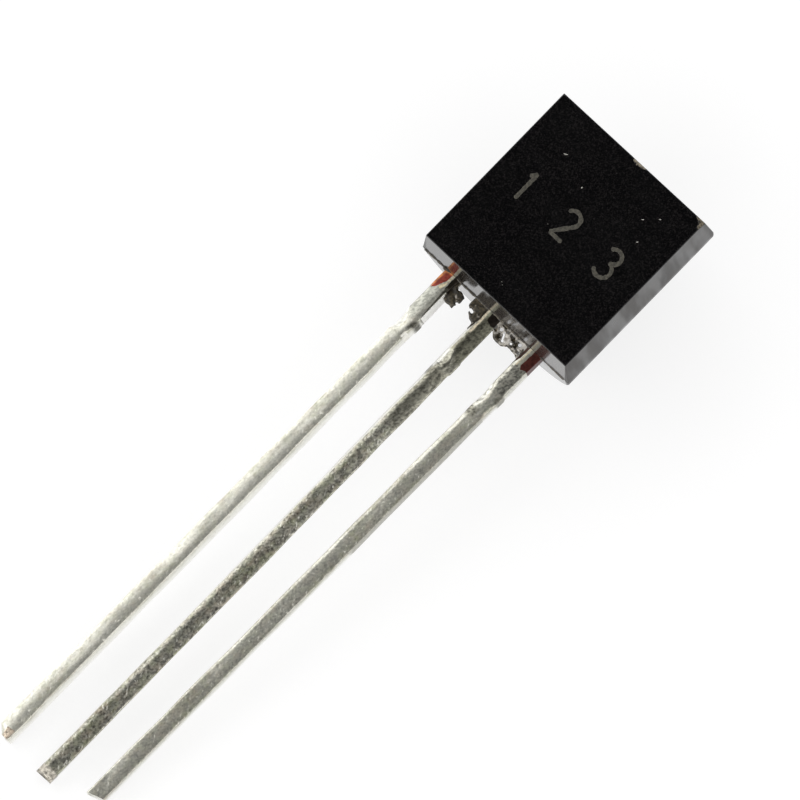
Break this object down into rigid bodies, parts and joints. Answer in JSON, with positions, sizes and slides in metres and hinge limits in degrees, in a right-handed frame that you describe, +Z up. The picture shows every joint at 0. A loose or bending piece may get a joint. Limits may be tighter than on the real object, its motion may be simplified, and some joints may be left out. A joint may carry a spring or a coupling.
{
  "type": "to-92 transistor",
  "caption": "Small plastic transistor with a flat front, a round back and straight tinned leads in a row, lying on its back.",
  "frame": {"origin": "on the ground, under the middle of the rectangle that the laid part covers", "axes": "+Z up, +Y from the lead tips towards the body's top end, +X across the flat, to the right when the flat is seen with the leads towards the viewer"},
  "size_m": [0.0046, 0.0192, 0.0041],
  "materials": {
    "moulding_resin": "black moulded epoxy, satin flat and glossy drafted sides",
    "tinned_lead": "dull tin plate over copper, stained and scratched",
    "silicon": "polished silicon",
    "solder": "dull solder",
    "bond_wire": "drawn gold wire"
  },
  "bodies": {
    "root": {"body": "moulding_resin", "left_lead": "tinned_lead", "centre_lead": "tinned_lead", "right_lead": "tinned_lead", "die": "silicon", "die_solder": "solder", "left_bond_wire": "bond_wire", "right_bond_wire": "bond_wire"}
  },
  "joints": []
}
